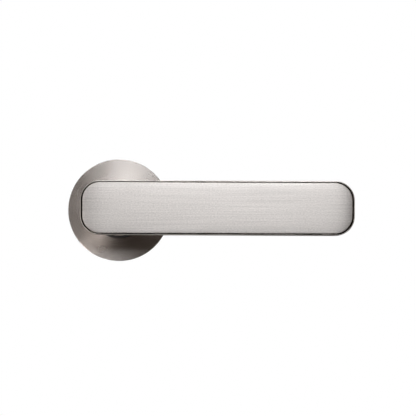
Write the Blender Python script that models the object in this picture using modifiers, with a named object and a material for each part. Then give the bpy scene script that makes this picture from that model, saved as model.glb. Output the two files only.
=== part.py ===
"""A door lever handle on a round rose, built as it comes apart on a bench.

Frame: the origin is where the spindle's axis meets the face of the door. +Y runs along the spindle
into the door, so the room is on the -Y side. +X is the way the lever points, and +Z is up. All
lengths are in metres.
"""

import math

import bmesh
import bpy
from mathutils import Matrix

# Lever: a bar with a recess for the face plate. Depths are places along Y.
LEVER_LENGTH = 0.1359
LEVER_HEIGHT = 0.027
LEVER_TAIL = 0.0184  # from the spindle's axis back to the lever's near end
LEVER_CORNER = 0.0096
LEVER_BACK = -0.0465
LEVER_BACK_ROUND = 0.0024
FRAME_FRONT = -0.056
FRAME_FRONT_ROUND = 0.0002
RIM = 0.00045
GROOVE = 0.0005  # between the rim and the face plate, above and below
END_GROOVE = 0.00065  # and at the lever's two ends
RECESS_FLOOR = -0.0528
PLATE_FRONT = -0.0569
PLATE_ROUND = 0.00035

# Neck, and the journal by which it turns in the rose.
NECK_RADIUS = 0.0132
NECK_FOOT = -0.0113
NECK_CHAMFER = 0.0005
JOURNAL_RADIUS = 0.009
JOURNAL_END = 0.0008
JOURNAL_FLAT = 0.007  # from the axis to each of its two flats
CIRCLIP_FRONT = -0.0013
CIRCLIP_THICK = 0.0007
CIRCLIP_SEAT = 0.0083
CIRCLIP_SLACK = 0.00015
CIRCLIP_OUTER = 0.0107
CIRCLIP_EAR = 0.0119
CIRCLIP_EYE = 0.0007
CIRCLIP_OPENING = 20  # degrees each side of the opening's middle, which is below
CIRCLIP_EAR_END = 36

# Spindle.
SPINDLE_SIDE = 0.008
SPINDLE_FRONT = -0.036
SPINDLE_END = 0.060
SPINDLE_CHAMFER = 0.0004
SPINDLE_PLAY = 0.00015
GRUB_PLACE = -0.019
GRUB_RADIUS = 0.003
GRUB_LENGTH = 0.008
GRUB_SOCKET = 0.0017
GRUB_CHAMFER = 0.0006

# Rose.
ROSE_RADIUS = 0.026
ROSE_DEPTH = 0.010
COVER_WALL = 0.0012
COVER_HOLE = 0.0116
COVER_ROUND = 0.0006
COVER_ROUND_STEPS = 3
BUSH_FLANGE_RADIUS = 0.0144
BUSH_FLANGE_THICK = 0.0007
BUSH_RADIUS = 0.0112
BUSH_BORE = 0.0092
BUSH_BACK = -0.0069
SUB_ROSE_RADIUS = 0.0243
SUB_ROSE_FRONT = -0.0082
SUB_ROSE_BORE = 0.0115
SUB_ROSE_CHAMFER = 0.0006
POCKET_FLOOR = -0.0067
NOTCH_WIDTH = 0.005
NOTCH_DEPTH = 0.0012

# Back plate, let into the back of the sub-rose.
BACK_PLATE_THICK = 0.0009
BACK_PLATE_RADIUS = 0.023
BACK_PLATE_HOLE = 0.0126
BACK_SCREW_CIRCLE = 0.0206
BACK_SCREW_ANGLES = (60, 120, 240, 300)

# Bolt-through lugs and screws, one on each side of the spindle.
FIXING_CENTRES = 0.038
LUG_RADIUS = 0.004
LUG_END = 0.008
FIXING_SHANK = 0.002
FIXING_HEAD = 0.0036
FIXING_HEAD_THICK = 0.0025
FIXING_SEAT = -0.0052
FIXING_END = 0.042
FIXING_CHAMFER = 0.0004
FIXING_SOCKET = 0.00144
FIXING_SOCKET_DEPTH = 0.0015

# Return springs, and the driver that presses on them. Angles are in degrees from +X towards +Z, at rest.
LEVER_TURN = 45
HUB_RADIUS = 0.0122
HUB_ROOM = 0.013
DRIVER_FRONT = -0.0056
DRIVER_BACK = -0.0023
SPRING_LUG_RADIUS = 0.0178
SPRING_LUG = (137, 146)
POCKET_RADIUS = 0.0184
POCKET = (38, 147)
STOP_LUG_RADIUS = 0.0152
STOP_LUG = (202, 210)
STOP_ROOM_RADIUS = 0.0156
STOP_SLACK = 0.5
SPRING_CIRCLE = 0.0154
SPRING_WIRE = 0.0008
SPRING_COIL_RADIUS = 0.0019
SPRING_TURNS = 9
SPRING_CLOSED_PITCH = 0.00105
SPRING_POINTS_A_TURN = 9

# Snap ring between the sub-rose and the cover.
SNAP_PLACE = -0.0045
SNAP_WIRE = 0.0011
SNAP_CIRCLE = 0.0241
SNAP_SEAT = 0.0232
SNAP_ROOM = 0.0008
SNAP_OPENING = 10  # degrees

GAP = 0.0003  # between pieces that rest on each other
PAST = 0.002  # how far a cutter runs past the face that it cuts
ROUND_STEPS = 48
SMALL_STEPS = 20
WELD = 0.000001
SHARP_ANGLE = math.radians(32)

MATERIALS = {
    "face_satin_steel": ((0.63, 0.60, 0.57), 0.34, 1.0),
    "frame_satin_steel": ((0.55, 0.52, 0.49), 0.36, 1.0),
    "neck_satin_steel": ((0.56, 0.53, 0.50), 0.34, 1.0),
    "rose_satin_steel": ((0.58, 0.54, 0.51), 0.33, 1.0),
    "bush_black_nylon": ((0.03, 0.03, 0.03), 0.5, 0.0),
    "cast_zinc": ((0.46, 0.46, 0.47), 0.55, 1.0),
    "pressed_steel": ((0.62, 0.62, 0.60), 0.42, 1.0),
    "spring_steel": ((0.33, 0.33, 0.34), 0.35, 1.0),
    "zinc_plated_steel": ((0.68, 0.69, 0.70), 0.32, 1.0),
    "black_oxide_steel": ((0.06, 0.06, 0.065), 0.45, 1.0),
}


def clear_scene():
    for obj in list(bpy.data.objects):
        bpy.data.objects.remove(obj)


def make_collection(name):
    collection = bpy.data.collections.new(name)
    bpy.context.scene.collection.children.link(collection)
    return collection


def make_materials():
    for name, (colour, roughness, metallic) in MATERIALS.items():
        material = bpy.data.materials.new(name)
        material.use_nodes = True
        shader = material.node_tree.nodes["Principled BSDF"]
        shader.inputs["Base Color"].default_value = (*colour, 1)
        shader.inputs["Roughness"].default_value = roughness
        shader.inputs["Metallic"].default_value = metallic


def working_object(data, name="cutter"):
    """A hidden working object: it is cut, or cuts, and isn't a piece of the handle."""
    obj = bpy.data.objects.new(name, data)
    bpy.data.collections["cutters"].objects.link(obj)
    obj.hide_render = True
    obj.display_type = "WIRE"
    return obj


def baked(obj):
    """The mesh of a working object as its modifiers leave it, in world axes. The object is removed."""
    graph = bpy.context.evaluated_depsgraph_get()
    mesh = bpy.data.meshes.new_from_object(obj.evaluated_get(graph))
    mesh.transform(obj.matrix_world)
    bm = bmesh.new()
    bm.from_mesh(mesh)
    bmesh.ops.remove_doubles(bm, verts=bm.verts, dist=WELD)
    bm.to_mesh(mesh)
    bm.free()
    mesh.shade_smooth()
    mesh.set_sharp_from_angle(angle=SHARP_ANGLE)
    bpy.data.objects.remove(obj)
    return mesh


def place(name, mesh, material, rider, matrix=None):
    """One piece of the handle: its mesh, its material, and the empty that it moves with."""
    if not mesh.materials:
        mesh.materials.append(bpy.data.materials[material])
    obj = bpy.data.objects.new(name, mesh)
    bpy.data.collections["door_lever_handle"].objects.link(obj)
    obj.parent = rider
    if matrix:
        obj.matrix_world = matrix
    return obj


def combined(obj, operation, others):
    for other in others:
        modifier = obj.modifiers.new("Boolean", "BOOLEAN")
        modifier.operation = operation
        modifier.solver = "EXACT"
        modifier.object = other
    bpy.context.view_layer.update()
    return obj


def cut(obj, *cutters):
    return combined(obj, "DIFFERENCE", cutters)


def turned(profile, closed=False, steps=ROUND_STEPS):
    """A profile of (radius, y) points spun about Y. Its outer side runs from the back to the front."""
    points = [(radius, y, 0) for radius, y in profile]
    edges = [(i, i + 1) for i in range(len(points) - 1)]
    if closed:
        edges.append((len(points) - 1, 0))
    mesh = bpy.data.meshes.new("profile")
    mesh.from_pydata(points, edges, [])
    obj = working_object(mesh, "turned")
    screw = obj.modifiers.new("Screw", "SCREW")
    screw.axis = "Y"
    screw.steps = steps
    screw.render_steps = steps
    screw.use_merge_vertices = True
    screw.merge_threshold = WELD
    return obj


def ring(inner, outer, front, back, steps=ROUND_STEPS):
    return turned([(outer, back), (outer, front), (inner, front), (inner, back)], True, steps)


def rod(radius, front, back, x=0, z=0, sides=SMALL_STEPS):
    """A cylinder, or a prism of few sides, that lies along Y."""
    bpy.ops.mesh.primitive_cylinder_add(
        vertices=sides,
        radius=radius,
        depth=back - front,
        location=(x, (front + back) / 2, z),
        rotation=(math.pi / 2, 0, 0),
    )
    made = bpy.context.object
    obj = working_object(made.data, "rod")
    obj.matrix_world = made.matrix_world.copy()
    bpy.data.objects.remove(made)
    return obj


def block(low, high):
    """A box between two corners."""
    bm = bmesh.new()
    size = [b - a for a, b in zip(low, high)]
    middle = [(a + b) / 2 for a, b in zip(low, high)]
    place_and_size = Matrix.Translation(middle) @ Matrix.Diagonal((*size, 1))
    bmesh.ops.create_cube(bm, size=1, matrix=place_and_size)
    mesh = bpy.data.meshes.new("block")
    bm.to_mesh(mesh)
    bm.free()
    return working_object(mesh, "block")


def round_edges(mesh, chosen, radius, segments):
    """Rounds the edges of a mesh for which chosen(a, b) is true of their two end points."""
    bm = bmesh.new()
    bm.from_mesh(mesh)
    edges = [edge for edge in bm.edges if chosen(*(vert.co for vert in edge.verts))]
    bmesh.ops.bevel(bm, geom=edges, offset=radius, segments=segments, profile=0.5, affect="EDGES")
    bm.to_mesh(mesh)
    bm.free()


def slab(x_low, x_high, half_height, front, back, corner, segments=8):
    """A flat bar with round corners in its outline."""
    obj = block((x_low, front, -half_height), (x_high, back, half_height))
    round_edges(obj.data, lambda a, b: abs(a.y - b.y) > WELD, corner, segments)
    return obj


def at_depth(y):
    """Chooses the edges that lie in the plane at this depth."""
    return lambda a, b: max(abs(a.y - y), abs(b.y - y)) < WELD


def arc(radius, start, end, step=7.5):
    """(x, z) points of an arc about the spindle's axis, in degrees, with both of its ends."""
    count = max(1, round(abs(end - start) / step))
    angles = [math.radians(start + (end - start) * i / count) for i in range(count + 1)]
    return [(radius * math.cos(a), radius * math.sin(a)) for a in angles]


def stepped_outline(base, steps):
    """A round outline that steps out to other radii. Each step is (start, end, radius), in turning order."""
    points = []
    next_starts = [start for start, _, _ in steps[1:]] + [steps[0][0] + 360]
    for (start, end, radius), next_start in zip(steps, next_starts):
        points += arc(radius, start, end)
        points += arc(base, end, next_start)
    return points


def double_d(radius, flat):
    """A round outline with two flats, above and below."""
    reach = math.degrees(math.asin(flat / radius))
    return arc(radius, -reach, reach) + arc(radius, 180 - reach, 180 + reach)


def prism(outlines, front, back):
    """Flat outlines of (x, z) points between two depths. An outline inside another is a hole."""
    curve = bpy.data.curves.new("outline", "CURVE")
    curve.dimensions = "2D"
    curve.fill_mode = "BOTH"
    curve.extrude = (back - front) / 2
    for outline in outlines:
        spline = curve.splines.new("POLY")
        spline.points.add(len(outline) - 1)
        for point, (x, z) in zip(spline.points, outline):
            point.co = (x, z, 0, 1)
        spline.use_cyclic_u = True
    guide = working_object(curve, "outline")
    guide.location.y = (front + back) / 2
    guide.rotation_euler.x = math.pi / 2
    bpy.context.view_layer.update()
    return working_object(baked(guide), "prism")


def wire(points, diameter):
    """A round wire through these points, as a working object."""
    curve = bpy.data.curves.new("wire", "CURVE")
    curve.dimensions = "3D"
    curve.bevel_depth = diameter / 2
    curve.bevel_resolution = 2
    curve.use_fill_caps = True
    spline = curve.splines.new("POLY")
    spline.points.add(len(points) - 1)
    for point, place_of in zip(spline.points, points):
        point.co = (*place_of, 1)
    return working_object(curve, "wire")


def countersunk(head, shank, length, margin=0.0):
    """A countersunk screw along +Y with its head's flat at y = 0. With a margin, the hole that it fits."""
    cone = head - shank
    top = -PAST if margin else 0
    profile = [
        (0, length + margin),
        (shank + margin, length + margin),
        (shank + margin, cone),
        (head + margin, 0),
        (head + margin, top),
        (0, top),
    ]
    if not margin:
        profile.remove((head, 0))
    return turned(profile, steps=SMALL_STEPS)


def moved(obj, matrix):
    obj.matrix_world = matrix @ obj.matrix_world
    bpy.context.view_layer.update()
    return obj


def from_front(x, y, z=0.0):
    """Places a screw whose head is at this point and faces the room."""
    return Matrix.Translation((x, y, z))


def from_back(x, y, z=0.0):
    """Places a screw whose head is at this point and faces the door."""
    return Matrix.Translation((x, y, z)) @ Matrix.Rotation(math.pi, 4, "Z")


def screw_mesh(head, shank, length, socket, socket_depth):
    """A countersunk screw with a hex socket in its head."""
    return baked(cut(countersunk(head, shank, length), rod(socket, -PAST, socket_depth, sides=6)))


NECK_SCREW = {"head": 0.0046, "shank": 0.0025, "length": 0.014}
NECK_SCREW_SOCKET = {"socket": 0.0019, "socket_depth": 0.0022}
NECK_SCREW_REACH = 0.0078  # from the spindle's axis to each screw
NECK_SCREW_PLACES = [
    from_front(x, RECESS_FLOOR + GAP) for x in (-NECK_SCREW_REACH, NECK_SCREW_REACH)
]
PLATE_SCREW = {"head": 0.0028, "shank": 0.0015, "length": 0.0085}
PLATE_SCREW_SOCKET = {"socket": 0.0012, "socket_depth": 0.0014}
PLATE_SCREW_REACHES = (0.034, 0.100)
PLATE_SCREW_SUNK = 0.0002
PLATE_SCREW_PLACES = [from_back(x, LEVER_BACK - PLATE_SCREW_SUNK) for x in PLATE_SCREW_REACHES]
BACK_SCREW = {"head": 0.0019, "shank": 0.001, "length": 0.0045}
BACK_SCREW_SOCKET = {"socket": 0.0008, "socket_depth": 0.0009}
BACK_SCREW_SUNK = 0.0001
BACK_SCREW_PLACES = [
    from_back(
        BACK_SCREW_CIRCLE * math.cos(math.radians(angle)),
        -BACK_SCREW_SUNK,
        BACK_SCREW_CIRCLE * math.sin(math.radians(angle)),
    )
    for angle in BACK_SCREW_ANGLES
]
FIXING_PLACES = (-FIXING_CENTRES / 2, FIXING_CENTRES / 2)


def clearances(screw, places):
    """The holes for a set of countersunk screws."""
    return [moved(countersunk(**screw, margin=GAP), matrix) for matrix in places]


def make_lever_frame(rider):
    near, far = -LEVER_TAIL, LEVER_LENGTH - LEVER_TAIL
    half = LEVER_HEIGHT / 2
    bar = slab(near, far, half, FRAME_FRONT, LEVER_BACK, LEVER_CORNER)
    round_edges(bar.data, at_depth(LEVER_BACK), LEVER_BACK_ROUND, 4)
    round_edges(bar.data, at_depth(FRAME_FRONT), FRAME_FRONT_ROUND, 1)
    recess = slab(
        near + RIM, far - RIM, half - RIM, FRAME_FRONT - PAST, RECESS_FLOOR, LEVER_CORNER - RIM
    )
    holes = clearances(NECK_SCREW, NECK_SCREW_PLACES) + clearances(PLATE_SCREW, PLATE_SCREW_PLACES)
    place("lever_frame", baked(cut(bar, recess, *holes)), "frame_satin_steel", rider)


def make_face_plate(rider):
    edge, end = RIM + GROOVE, RIM + END_GROOVE
    near, far = end - LEVER_TAIL, LEVER_LENGTH - LEVER_TAIL - end
    plate = slab(
        near, far, LEVER_HEIGHT / 2 - edge, PLATE_FRONT, RECESS_FLOOR - GAP, LEVER_CORNER - edge
    )
    round_edges(plate.data, at_depth(PLATE_FRONT), PLATE_ROUND, 4)
    cut(plate, *clearances(PLATE_SCREW, PLATE_SCREW_PLACES))
    place("lever_face_plate", baked(plate), "face_satin_steel", rider)


def make_neck(rider):
    front = LEVER_BACK + GAP
    seat_front = CIRCLIP_FRONT - CIRCLIP_SLACK
    seat_back = CIRCLIP_FRONT + CIRCLIP_THICK + CIRCLIP_SLACK
    neck = turned(
        [
            (0, JOURNAL_END),
            (JOURNAL_RADIUS - NECK_CHAMFER, JOURNAL_END),
            (JOURNAL_RADIUS, JOURNAL_END - NECK_CHAMFER),
            (JOURNAL_RADIUS, seat_back),
            (CIRCLIP_SEAT, seat_back),
            (CIRCLIP_SEAT, seat_front),
            (JOURNAL_RADIUS, seat_front),
            (JOURNAL_RADIUS, NECK_FOOT),
            (NECK_RADIUS - NECK_CHAMFER, NECK_FOOT),
            (NECK_RADIUS, NECK_FOOT - NECK_CHAMFER),
            (NECK_RADIUS, front + NECK_CHAMFER),
            (NECK_RADIUS - NECK_CHAMFER, front),
            (0, front),
        ]
    )
    hole = SPINDLE_SIDE / 2 + SPINDLE_PLAY
    square = block((-hole, SPINDLE_FRONT - GAP, -hole), (hole, JOURNAL_END + PAST, hole))
    flats_front = DRIVER_FRONT - CIRCLIP_SLACK
    flats = [
        block(
            (-JOURNAL_RADIUS - PAST, flats_front, low),
            (JOURNAL_RADIUS + PAST, JOURNAL_END + PAST, low + JOURNAL_RADIUS),
        )
        for low in (JOURNAL_FLAT, -JOURNAL_FLAT - JOURNAL_RADIUS)
    ]
    grub_hole = moved(
        rod(GRUB_RADIUS + GAP, SPINDLE_SIDE / 4, NECK_RADIUS + PAST),
        Matrix.Translation((0, GRUB_PLACE, 0)) @ Matrix.Rotation(-math.pi / 2, 4, "X"),
    )
    cut(neck, square, *flats, grub_hole, *clearances(NECK_SCREW, NECK_SCREW_PLACES))
    place("lever_neck", baked(neck), "neck_satin_steel", rider)


def make_spindle(rider):
    half = SPINDLE_SIDE / 2
    bar = block((-half, SPINDLE_FRONT, -half), (half, SPINDLE_END, half))
    round_edges(bar.data, lambda a, b: True, SPINDLE_CHAMFER, 1)
    place("spindle", baked(bar), "zinc_plated_steel", rider)


def make_grub_screw(rider):
    screw = turned(
        [
            (0, GRUB_LENGTH),
            (GRUB_RADIUS - GRUB_CHAMFER, GRUB_LENGTH),
            (GRUB_RADIUS, GRUB_LENGTH - GRUB_CHAMFER),
            (GRUB_RADIUS, GRUB_CHAMFER),
            (GRUB_RADIUS - GRUB_CHAMFER, 0),
            (0, 0),
        ],
        steps=SMALL_STEPS,
    )
    cut(screw, rod(GRUB_SOCKET, -PAST, GRUB_LENGTH / 2, sides=6))
    tip = -SPINDLE_SIDE / 2 - GAP
    upward = Matrix.Translation((0, GRUB_PLACE, tip - GRUB_LENGTH)) @ Matrix.Rotation(math.pi / 2, 4, "X")
    place("grub_screw", baked(screw), "black_oxide_steel", rider, upward)


def make_lever_screws(rider):
    neck_screw = screw_mesh(**NECK_SCREW, **NECK_SCREW_SOCKET)
    for number, matrix in enumerate(NECK_SCREW_PLACES, 1):
        place(f"neck_screw_{number}", neck_screw, "black_oxide_steel", rider, matrix)
    plate_screw = screw_mesh(**PLATE_SCREW, **PLATE_SCREW_SOCKET)
    for number, matrix in enumerate(PLATE_SCREW_PLACES, 1):
        place(f"face_plate_screw_{number}", plate_screw, "zinc_plated_steel", rider, matrix)


def make_driver(rider):
    spring_lugs = [
        (SPRING_LUG[0] + half_turn, SPRING_LUG[1] + half_turn, SPRING_LUG_RADIUS)
        for half_turn in (0, 180)
    ]
    outline = stepped_outline(HUB_RADIUS, [spring_lugs[0], (*STOP_LUG, STOP_LUG_RADIUS), spring_lugs[1]])
    hole = double_d(BUSH_BORE, JOURNAL_FLAT + SPINDLE_PLAY)
    driver = prism([outline, hole], DRIVER_FRONT, DRIVER_BACK)
    place("spring_driver", baked(driver), "pressed_steel", rider)


def make_washers(rider):
    outer = HUB_ROOM - 2 * GAP
    thrust_front = POCKET_FLOOR + GAP
    thrust = ring(BUSH_BORE, outer, thrust_front, DRIVER_FRONT - GAP)
    place("thrust_washer", baked(thrust), "pressed_steel", rider)
    retaining = ring(BUSH_BORE, outer, DRIVER_BACK + GAP, CIRCLIP_FRONT - GAP)
    place("retaining_washer", baked(retaining), "pressed_steel", rider)


def make_circlip(rider):
    inner = CIRCLIP_SEAT + CIRCLIP_SLACK
    outline = (
        arc(CIRCLIP_EAR, CIRCLIP_OPENING - 90, CIRCLIP_EAR_END - 90)
        + arc(CIRCLIP_OUTER, CIRCLIP_EAR_END - 90, 270 - CIRCLIP_EAR_END)
        + arc(CIRCLIP_EAR, 270 - CIRCLIP_EAR_END, 270 - CIRCLIP_OPENING)
        + arc(inner, 270 - CIRCLIP_OPENING, CIRCLIP_OPENING - 90)
    )
    clip = prism([outline], CIRCLIP_FRONT, CIRCLIP_FRONT + CIRCLIP_THICK)
    eyes = []
    for side in (-1, 1):
        angle = math.radians(side * (CIRCLIP_OPENING + CIRCLIP_EAR_END) / 2 - 90)
        middle = (inner + CIRCLIP_EAR) / 2
        x, z = middle * math.cos(angle), middle * math.sin(angle)
        eyes.append(rod(CIRCLIP_EYE, CIRCLIP_FRONT - PAST, CIRCLIP_FRONT + PAST, x, z, sides=12))
    place("circlip", baked(cut(clip, *eyes)), "black_oxide_steel", rider)


def make_rose_cover(rider):
    front, inside = -ROSE_DEPTH, -ROSE_DEPTH + COVER_WALL
    inner = ROSE_RADIUS - COVER_WALL
    corner = [
        (
            ROSE_RADIUS - COVER_ROUND + COVER_ROUND * math.cos(angle),
            front + COVER_ROUND - COVER_ROUND * math.sin(angle),
        )
        for angle in (math.radians(90 * i / COVER_ROUND_STEPS) for i in range(COVER_ROUND_STEPS + 1))
    ]
    cover = turned(
        [(ROSE_RADIUS, 0), *corner, (COVER_HOLE, front), (COVER_HOLE, inside), (inner, inside), (inner, 0)],
        closed=True,
        steps=2 * ROUND_STEPS,
    )
    notch = block(
        (-NOTCH_WIDTH / 2, -NOTCH_DEPTH, -ROSE_RADIUS - PAST), (NOTCH_WIDTH / 2, PAST, -SUB_ROSE_RADIUS)
    )
    place("rose_cover", baked(cut(cover, notch)), "rose_satin_steel", rider)


def make_bush(rider):
    front = -ROSE_DEPTH - GAP - BUSH_FLANGE_THICK
    bush = turned(
        [
            (BUSH_RADIUS, BUSH_BACK),
            (BUSH_RADIUS, -ROSE_DEPTH - GAP),
            (BUSH_FLANGE_RADIUS, -ROSE_DEPTH - GAP),
            (BUSH_FLANGE_RADIUS, front),
            (BUSH_BORE, front),
            (BUSH_BORE, BUSH_BACK),
        ],
        closed=True,
    )
    place("bearing_bush", baked(bush), "bush_black_nylon", rider)


def make_sub_rose(rider):
    recess_floor = -BACK_PLATE_THICK - GAP
    body = turned(
        [
            (SUB_ROSE_RADIUS, 0),
            (SUB_ROSE_RADIUS, SNAP_PLACE + SNAP_ROOM),
            (SNAP_SEAT, SNAP_PLACE + SNAP_ROOM),
            (SNAP_SEAT, SNAP_PLACE - SNAP_ROOM),
            (SUB_ROSE_RADIUS, SNAP_PLACE - SNAP_ROOM),
            (SUB_ROSE_RADIUS, SUB_ROSE_FRONT + SUB_ROSE_CHAMFER),
            (SUB_ROSE_RADIUS - SUB_ROSE_CHAMFER, SUB_ROSE_FRONT),
            (SUB_ROSE_BORE, SUB_ROSE_FRONT),
            (SUB_ROSE_BORE, recess_floor),
            (BACK_PLATE_RADIUS + GAP, recess_floor),
            (BACK_PLATE_RADIUS + GAP, 0),
        ],
        closed=True,
    )
    lugs = [rod(LUG_RADIUS, recess_floor - PAST, LUG_END, x, sides=24) for x in FIXING_PLACES]
    combined(body, "UNION", lugs)
    pockets = [(POCKET[0] + half_turn, POCKET[1] + half_turn, POCKET_RADIUS) for half_turn in (0, 180)]
    stop_room = (STOP_LUG[0] - LEVER_TURN - STOP_SLACK, STOP_LUG[1] + STOP_SLACK, STOP_ROOM_RADIUS)
    outline = stepped_outline(HUB_ROOM, [pockets[0], stop_room, pockets[1]])
    cut(body, prism([outline], POCKET_FLOOR, PAST))
    for x in FIXING_PLACES:
        cut(
            body,
            rod(FIXING_HEAD + GAP, SUB_ROSE_FRONT - PAST, FIXING_SEAT, x),
            rod(FIXING_SHANK + GAP, SUB_ROSE_FRONT - PAST, LUG_END + PAST, x),
        )
    cut(body, *clearances(BACK_SCREW, BACK_SCREW_PLACES))
    place("sub_rose", baked(body), "cast_zinc", rider)


def make_back_plate(rider):
    plate = ring(BACK_PLATE_HOLE, BACK_PLATE_RADIUS, -BACK_PLATE_THICK, 0)
    for x in FIXING_PLACES:
        cut(plate, rod(LUG_RADIUS + GAP, -PAST, PAST, x, sides=24))
    cut(plate, *clearances(BACK_SCREW, BACK_SCREW_PLACES))
    place("back_plate", baked(plate), "pressed_steel", rider)
    screw = screw_mesh(**BACK_SCREW, **BACK_SCREW_SOCKET)
    for number, matrix in enumerate(BACK_SCREW_PLACES, 1):
        place(f"back_plate_screw_{number}", screw, "black_oxide_steel", rider, matrix)


def make_fixing_screws(rider):
    """Low-head M4 screws, with the underside of the head on its seat."""
    under = FIXING_SEAT - GAP
    top = under - FIXING_HEAD_THICK
    screw = turned(
        [
            (0, FIXING_END),
            (FIXING_SHANK - FIXING_CHAMFER, FIXING_END),
            (FIXING_SHANK, FIXING_END - FIXING_CHAMFER),
            (FIXING_SHANK, under),
            (FIXING_HEAD, under),
            (FIXING_HEAD, top + FIXING_CHAMFER),
            (FIXING_HEAD - FIXING_CHAMFER, top),
            (0, top),
        ],
        steps=SMALL_STEPS,
    )
    cut(screw, rod(FIXING_SOCKET, top - PAST, top + FIXING_SOCKET_DEPTH, sides=6))
    mesh = baked(screw)
    for number, x in enumerate(FIXING_PLACES, 1):
        place(f"fixing_screw_{number}", mesh, "zinc_plated_steel", rider, Matrix.Translation((x, 0, 0)))


def spring_points(start, end):
    """A helix round an arc of the spring circle, with one closed turn at each end."""
    closed = math.degrees(SPRING_CLOSED_PITCH / SPRING_CIRCLE)
    start, end = start + closed / 2, end - closed / 2
    open_pitch = (end - start - 2 * closed) / (SPRING_TURNS - 2)
    middle = (POCKET_FLOOR - BACK_PLATE_THICK - GAP) / 2
    points = []
    for i in range(SPRING_TURNS * SPRING_POINTS_A_TURN + 1):
        turn = i / SPRING_POINTS_A_TURN
        open_turns = min(max(turn - 1, 0), SPRING_TURNS - 2)
        along = math.radians(start + closed * (turn - open_turns) + open_pitch * open_turns)
        radius = SPRING_CIRCLE + SPRING_COIL_RADIUS * math.cos(math.tau * turn)
        y = middle + SPRING_COIL_RADIUS * math.sin(math.tau * turn)
        points.append((radius * math.cos(along), y, radius * math.sin(along)))
    return points


def make_return_springs(rider):
    clearance = math.degrees(GAP / SPRING_CIRCLE)
    start, end = POCKET[0] + clearance, SPRING_LUG[0] - clearance
    for name, half_turn in (("return_spring_upper", 0), ("return_spring_lower", 180)):
        coil = wire(spring_points(start + half_turn, end + half_turn), SPRING_WIRE)
        place(name, baked(coil), "spring_steel", rider)


def make_snap_ring(rider):
    span = arc(SNAP_CIRCLE, 90 + SNAP_OPENING, 450 - SNAP_OPENING)
    loop = wire([(x, SNAP_PLACE, z) for x, z in span], SNAP_WIRE)
    place("cover_snap_ring", baked(loop), "spring_steel", rider)


def make_empty(name):
    empty = bpy.data.objects.new(name, None)
    bpy.data.collections["door_lever_handle"].objects.link(empty)
    return empty


def main():
    clear_scene()
    make_collection("door_lever_handle")
    make_collection("cutters")
    make_materials()

    fixed = make_empty("rose_on_door")
    for make in (
        make_rose_cover,
        make_bush,
        make_sub_rose,
        make_back_plate,
        make_fixing_screws,
        make_return_springs,
        make_snap_ring,
    ):
        make(fixed)

    turning = make_empty("lever_turn_axis")
    for make in (
        make_face_plate,
        make_lever_frame,
        make_neck,
        make_spindle,
        make_grub_screw,
        make_lever_screws,
        make_driver,
        make_washers,
        make_circlip,
    ):
        make(turning)


main()
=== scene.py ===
"""The looks of a satin steel door lever handle on a round rose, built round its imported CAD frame."""

import math

import bmesh
import bpy
from mathutils import Matrix, Vector


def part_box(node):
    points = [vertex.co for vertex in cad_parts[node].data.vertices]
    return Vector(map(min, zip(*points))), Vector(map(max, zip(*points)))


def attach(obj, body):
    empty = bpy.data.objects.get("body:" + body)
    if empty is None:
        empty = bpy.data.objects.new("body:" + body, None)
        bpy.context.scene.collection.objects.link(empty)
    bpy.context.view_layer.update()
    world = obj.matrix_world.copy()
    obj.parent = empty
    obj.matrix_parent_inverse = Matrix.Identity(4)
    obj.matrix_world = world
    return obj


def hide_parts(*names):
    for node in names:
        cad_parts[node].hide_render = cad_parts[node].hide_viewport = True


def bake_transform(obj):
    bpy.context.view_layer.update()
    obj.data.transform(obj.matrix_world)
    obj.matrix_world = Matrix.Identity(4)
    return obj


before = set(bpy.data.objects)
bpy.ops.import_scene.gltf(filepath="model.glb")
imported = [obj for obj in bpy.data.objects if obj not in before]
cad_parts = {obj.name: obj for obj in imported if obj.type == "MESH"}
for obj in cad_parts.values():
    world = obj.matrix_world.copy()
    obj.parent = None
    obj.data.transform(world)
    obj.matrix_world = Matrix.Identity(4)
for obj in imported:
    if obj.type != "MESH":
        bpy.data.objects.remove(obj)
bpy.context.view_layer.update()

MM = 0.001
FINE = 160  # steps round a large turned piece
SMALL = 48  # steps round a screw
ROUND_STEPS = 8  # steps of a rounded edge that shows
CORNER_STEPS = 20  # steps of a corner in the lever's outline
SHARP = 35  # degrees, from which an edge stays sharp
EASED_FROM = 40  # degrees, from which a shaped piece has its edges eased
WELD = 1e-7
PAST = 2 * MM  # how far a cutting tool runs past the surface that it opens
THROUGH = 5 * MM  # how far it runs each way from the door's face to pass right through
EASE = 0.1 * MM  # the rounding of a broken edge,
SOFT = 0.2 * MM  # of a softer one
ROUND = 0.3 * MM  # and of one that is plainly round


# ---------------------------------------------------------------- sizes, from the frame

frame_low, frame_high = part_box("lever_frame")
plate_low, plate_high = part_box("lever_face_plate")
neck_low, neck_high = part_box("lever_neck")
cover_low, cover_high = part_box("rose_cover")
bush_low, bush_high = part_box("bearing_bush")
sub_low, sub_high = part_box("sub_rose")
back_low, back_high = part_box("back_plate")
spindle_low, spindle_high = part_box("spindle")
clip_low, clip_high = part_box("circlip")

NECK_SCREWS = ("neck_screw_1", "neck_screw_2")
FACE_PLATE_SCREWS = ("face_plate_screw_1", "face_plate_screw_2")
FIXING_SCREWS = ("fixing_screw_1", "fixing_screw_2")
BACK_PLATE_SCREWS = tuple(f"back_plate_screw_{i}" for i in (1, 2, 3, 4))

ROSE_RADIUS = cover_high.x
RIM = 0.45 * MM  # the frame's wall as seen from the front
GROOVE = 0.52 * MM  # between it and the plate, below the plate
TOP_GROOVE = 0.42 * MM  # above it
END_GROOVE = 0.68 * MM  # and at its two ends
FRAME_CORNER = 9.6 * MM
RECESS_DEPTH = 3.2 * MM
FIXING_X = 19 * MM
BACK_SCREW_CIRCLE = 20.6 * MM
BACK_SCREW_ANGLES = (60, 120, 240, 300)


# ---------------------------------------------------------------- paths and meshes


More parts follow.
